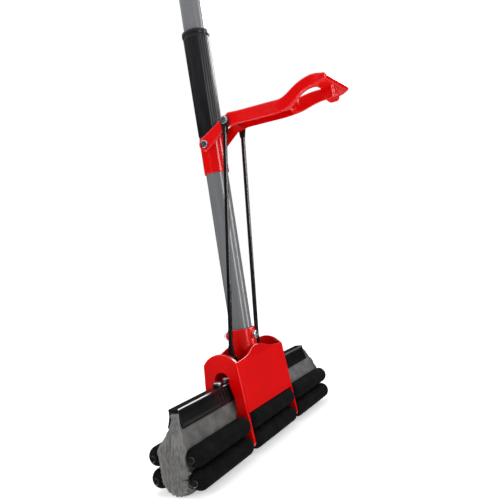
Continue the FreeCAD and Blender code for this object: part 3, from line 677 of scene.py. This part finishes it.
def curve_through(points, count):
    """Evenly spaced points on a smooth curve through the given ones."""
    fine = []
    for index in range(len(points) - 1):
        before = points[max(0, index - 1)]
        start = points[index]
        end = points[index + 1]
        after = points[min(len(points) - 1, index + 2)]
        for step in range(CURVE_STEPS):
            t = step / CURVE_STEPS
            fine.append(tuple(spline(*values, t) for values in zip(before, start, end, after)))
    fine.append(points[-1])
    lengths = distances_along(fine)
    even = []
    at = 0
    for index in range(count):
        target = lengths[-1] * index / (count - 1)
        while at < len(fine) - 2 and lengths[at + 1] < target:
            at += 1
        share = (target - lengths[at]) / max(1e-9, lengths[at + 1] - lengths[at])
        even.append(tuple(a + (b - a) * share for a, b in zip(fine[at], fine[at + 1])))
    return even


def roller_shape(x):
    """Radius of the outer rollers at a place along the head, with their domes and caps."""
    dome_start = ROLLER_END - math.sqrt(ROLLER_RADIUS ** 2 - ROLLER_END_RADIUS ** 2)
    if x <= dome_start:
        return ROLLER_RADIUS
    if x <= ROLLER_END:
        return math.sqrt(ROLLER_RADIUS ** 2 - (x - dome_start) ** 2)
    return AXLE_CAP_RADIUS


def keep_off_rollers(x, y, z):
    """The point moved clear of the rollers, with room for the sponge to rise a little."""
    radius = roller_shape(abs(x)) + SPONGE_CLEARANCE
    for middle_y, middle_z in ROLLER_AXES:
        near_z = min(middle_z, max(middle_z - SPONGE_LIFT, z))
        across = abs(y) - middle_y
        up = z - near_z
        distance = math.hypot(across, up)
        if distance < radius:
            if distance < 1e-6:
                across, up, distance = -1.0, 0.0, 1.0
            y = math.copysign(middle_y + across / distance * radius, y)
            z = near_z + up / distance * radius
    return y, z


def free_swell(x, height, front):
    """How the width changes past the channel's ends, where nothing holds the sponge."""
    end = smoothstep(*PAST_ROLLERS, abs(x))
    swell = -NECK_DRAW * band(*NECK_DRAWN, height) * smoothstep(*PAST_CHANNEL, abs(x))
    if front:
        swell += end * LIP_SWELL * math.exp(-((height - LIP_HEIGHT) / LIP_SPREAD) ** 2)
        shoulder = smoothstep(*PAST_SHOULDER, abs(x)) * smoothstep(*SHOULDER_RISE, height)
        return swell + SHOULDER_SWELL * shoulder
    return swell + end * BACK_SWELL * band(*BACK_SWOLLEN, height)


def foam_wave(*place):
    """Lengthwise folds and slow unevenness of squeezed foam."""
    waves = Vector([value * scale for value, scale in zip(place, FOAM_WAVES)])
    broad, fine = FOAM_WAVE_HEIGHTS
    return noise.noise(waves) * broad + noise.noise(waves * FOAM_WAVE_RATIO) * fine


def tooth(distance):
    """Corrugated sole, by the distance along it: 0 on its ridges and 1 in its grooves."""
    phase = distance / TOOTH_SPACING % 1
    return abs(2 * phase - 1) ** TOOTH_POWER


def groove_depth(x, girth, height, side):
    """Depth of the sole's grooves, which fade out where the rollers press them flat."""
    end = smoothstep(*PAST_ROLLERS, abs(x))
    place = Vector([value * scale for value, scale in zip((girth, side, x), TOOTH_UNEVEN_SCALES)])
    uneven = 1 + TOOTH_UNEVEN * noise.noise(place)
    if side < 0:
        strength = TOOTH_STRENGTH + TOOTH_END_GAIN * end
    else:
        strength = TOOTH_STRENGTH - TOOTH_BACK_LOSS * end * smoothstep(*TOOTH_BACK_RISE, height)
    fade = 1 - smoothstep(*TOOTH_FADE, height)
    return tooth(girth) * TOOTH_DEPTH * fade * uneven * strength


def sponge_section(x, half, lengths):
    """Points of the section at x, round from the top by the front to the bottom and back."""
    beyond = smoothstep(*PAST_CHANNEL, abs(x))
    end = smoothstep(*PAST_ROLLERS, abs(x))
    gate = 1 - smoothstep(*GATE_FADE, abs(abs(x) - PLATE_X))
    section = []
    total = len(half) - 1
    for index in range(2 * total):
        front = index <= total
        step = index if front else 2 * total - index
        width, height = half[step]
        side = -1 if front else 1
        # Beside the plates the gates hold the sponge in
        if height < GATE_TOP:
            width = min(width, GATE_HALF_WIDTH) * gate + width * (1 - gate)
        swell = free_swell(x, height, front)
        y = side * (width + swell * min(1.0, width / SWELL_EDGE))
        # Past the channel the neck leans to the front
        y -= NECK_LEAN * beyond * band(*NECK_LEANING, height)
        z = height
        if height < FOAM_WAVE_TOP:
            y += side * foam_wave(x, y, z) * min(1.0, width / FOAM_WAVE_WIDTH)
        # Grooves go in towards the middle of the sole
        inward = Vector((-y, TOOTH_CENTRE - z)).normalized()
        groove = groove_depth(x, lengths[-1] - lengths[step], height, side)
        y += inward.x * groove
        z += inward.y * groove
        turn_up = min(1.0, abs(y) / CORNER_WIDTH) ** 2 * (1 - smoothstep(*CORNER_FADE, height))
        z += CORNER_LIFT * end * turn_up
        y, z = keep_off_rollers(x, y, z)
        section.append((y, max(0.0, z)))
    return section


def sponge_stations():
    """Places of the sections along the head, closer together towards its ends."""
    count = round(2 * SPONGE_EVEN_REACH / SPONGE_STEP)
    inner = [-SPONGE_EVEN_REACH + 2 * SPONGE_EVEN_REACH * index / count
             for index in range(count + 1)]
    outer = []
    x = SPONGE_EVEN_REACH
    while x < SPONGE_SECTION_REACH:
        x += SPONGE_END_STEP
        outer.append(x)
    return [-x for x in reversed(outer)] + inner + outer


def end_relief(y, z, side):
    """Folds, ribs, grain and one crease of the sponge's end face, outwards."""
    seed = RIGHT_END_SEED if side > 0 else 0.0
    folds = noise.noise(Vector((y * 0.26 + seed, z * 0.05, seed))) * 1.5
    ribs = noise.noise(Vector((y * 0.62 + 0.06 * z, z * 0.07, 3.0 + seed))) * 1.2
    grain = noise.noise(Vector((y * 1.9, z * 1.1, 9.0 + seed))) * 0.35
    crease_y = CREASE_PLACE + CREASE_SWAY * math.sin(z / CREASE_WAVE)
    crease = math.exp(-((y - crease_y) / CREASE_WIDTH) ** 2) * band(*CREASED, z)
    return folds + ribs + grain - CREASE_DEPTH * crease


def make_end_cap(points, faces, start, rim, side):
    """Closes the sponge's end with a crisp rim and a folded face."""
    count = len(rim)
    previous = [start + index for index in range(count)]
    for number in range(1, SPONGE_CAP_RINGS + 1):
        share = number / SPONGE_CAP_RINGS
        inset = 1 - share
        bulge = 1 - inset ** CAP_BULGE_POWER
        folded = smoothstep(*RELIEF_FADE, share) * RELIEF_SHARE
        current = []
        # The last ring is the face's spine, where the front and back points meet
        spine = {}
        for index in range(count):
            x, y, z = rim[index]
            mate = rim[(count - index) % count]
            centre_y = (y + mate[1]) / 2
            centre_z = (z + mate[2]) / 2
            new_y = centre_y + (y - centre_y) * inset
            new_z = z + (centre_z - z) * share + (CAP_MIDDLE - z) * CAP_PULL * share
            reach = along(SPONGE_END, new_z)
            out = abs(x) + (reach - abs(x)) * bulge + end_relief(new_y, new_z, side) * folded
            key = min(index, (count - index) % count)
            if number < SPONGE_CAP_RINGS or key not in spine:
                spine[key] = len(points)
                points.append((side * out, new_y, new_z))
            current.append(spine[key])
        for index in range(count):
            beside = (index + 1) % count
            corners = [previous[index], previous[beside], current[beside], current[index]]
            if side < 0:
                corners.reverse()
            corners = list(dict.fromkeys(corners))
            if len(corners) > 2:
                faces.append(tuple(corners))
        previous = current


def make_sponge():
    """Squeezed foam blade, free past the rollers' ends, with a corrugated sole."""
    total = SPONGE_POINTS_AROUND // 2
    half = curve_through(SPONGE_HALF, total + 1)
    lengths = distances_along(half)
    full = SPONGE_TAPER[1]
    points = []
    rings = []
    for x in sponge_stations():
        share = smoothstep(*SPONGE_TAPER, abs(x))
        ring = []
        for y, z in sponge_section(x, half, lengths):
            rim_x = along(SPONGE_END, z) - SPONGE_RIM_SETBACK
            ring.append((math.copysign(abs(x) + (rim_x - full) * share, x), y, z))
        rings.append(ring)
        points += ring
    faces = join_rings(rings, False)
    make_end_cap(points, faces, 0, rings[0], -1)
    make_end_cap(points, faces, (len(rings) - 1) * 2 * total, rings[-1], 1)
    piece = add_piece("sponge_blade", points, faces, "sponge_foam", "sponge_carriage")
    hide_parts("sponge")


# Stage


def make_floor():
    """Floor under the sponge. The mop stands on its sponge, so the two go together."""
    mesh = bpy.data.meshes.new("floor")
    reach = FLOOR_REACH
    corners = [(-reach, -reach, 0), (reach, -reach, 0), (reach, reach, 0), (-reach, reach, 0)]
    mesh.from_pydata(corners, [], [(0, 1, 2, 3)])
    mesh.materials.append(make_floor_white())
    floor = add_to_scene("floor", mesh)
    floor.visible_glossy = False
    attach(floor, "sponge_carriage")


def make_softbox(name, place, target, width, height, power, mirrored):
    """Flat lamp that either only lights or only shows as a mirrored highlight."""
    light = bpy.data.lights.new(name, "AREA")
    light.shape = "RECTANGLE"
    light.size = width
    light.size_y = height
    light.energy = power
    lamp = add_to_scene(name, light)
    lamp.location = place
    lamp.rotation_mode = "QUATERNION"
    lamp.rotation_quaternion = (Vector(target) - Vector(place)).to_track_quat("-Z", "Y")
    lamp.visible_camera = False
    lamp.visible_glossy = mirrored
    lamp.visible_diffuse = not mirrored


def make_world():
    """White surroundings. Mirrored rays see them dark near the horizon, for deeper colours."""
    world = bpy.data.worlds.new("studio")
    world.use_nodes = True
    tree = world.node_tree
    tree.nodes.clear()
    output = tree.nodes.new("ShaderNodeOutputWorld")
    rays = tree.nodes.new("ShaderNodeLightPath")

    def background(strength):
        node = tree.nodes.new("ShaderNodeBackground")
        node.inputs["Color"].default_value = (1.0, 1.0, 1.0, 1.0)
        node.inputs["Strength"].default_value = strength
        return node

    def mix(factor, first, second):
        node = tree.nodes.new("ShaderNodeMixShader")
        tree.links.new(factor, node.inputs["Fac"])
        tree.links.new(first.outputs[0], node.inputs[1])
        tree.links.new(second.outputs[0], node.inputs[2])
        return node

    place = tree.nodes.new("ShaderNodeTexCoord")
    split = tree.nodes.new("ShaderNodeSeparateXYZ")
    tree.links.new(place.outputs["Generated"], split.inputs["Vector"])
    steepness = tree.nodes.new("ShaderNodeMapRange")
    steepness.inputs["From Min"].default_value = -1.0
    tree.links.new(split.outputs["Z"], steepness.inputs["Value"])
    glow = tree.nodes.new("ShaderNodeValToRGB")
    set_ramp(glow, [((rise + 1) / 2, (share, share, share)) for rise, share in MIRRORED_GLOW])
    tree.links.new(steepness.outputs["Result"], glow.inputs["Fac"])

    mirrored = background(MIRROR_BRIGHT)
    tree.links.new(glow.outputs["Color"], mirrored.inputs["Color"])
    seen = mix(rays.outputs["Is Glossy Ray"], background(SOFT_LIGHT), mirrored)
    seen = mix(rays.outputs["Is Camera Ray"], seen, background(1.0))
    tree.links.new(seen.outputs["Shader"], output.inputs["Surface"])
    bpy.context.scene.world = world


def make_camera():
    data = bpy.data.cameras.new("camera")
    data.lens = CAMERA_LENS
    data.sensor_width = CAMERA_SENSOR
    data.clip_start = CAMERA_NEAR
    data.clip_end = CAMERA_FAR
    camera = add_to_scene("camera", data)
    back = CAMERA_RIGHT.cross(CAMERA_UP)
    turn = Matrix((CAMERA_RIGHT, CAMERA_UP, back)).transposed().to_4x4()
    camera.matrix_world = Matrix.Translation(CAMERA_PLACE) @ turn
    bpy.context.scene.camera = camera


paint_cad_nodes()
make_grip()
make_screw_sockets()
make_sponge()
make_floor()
for lamp_row in LIGHTING_LAMPS:
    make_softbox(*lamp_row, mirrored=False)
for lamp_row in MIRRORED_LAMPS:
    make_softbox(*lamp_row, mirrored=True)
make_world()
make_camera()
bpy.context.scene.view_settings.view_transform = "Standard"
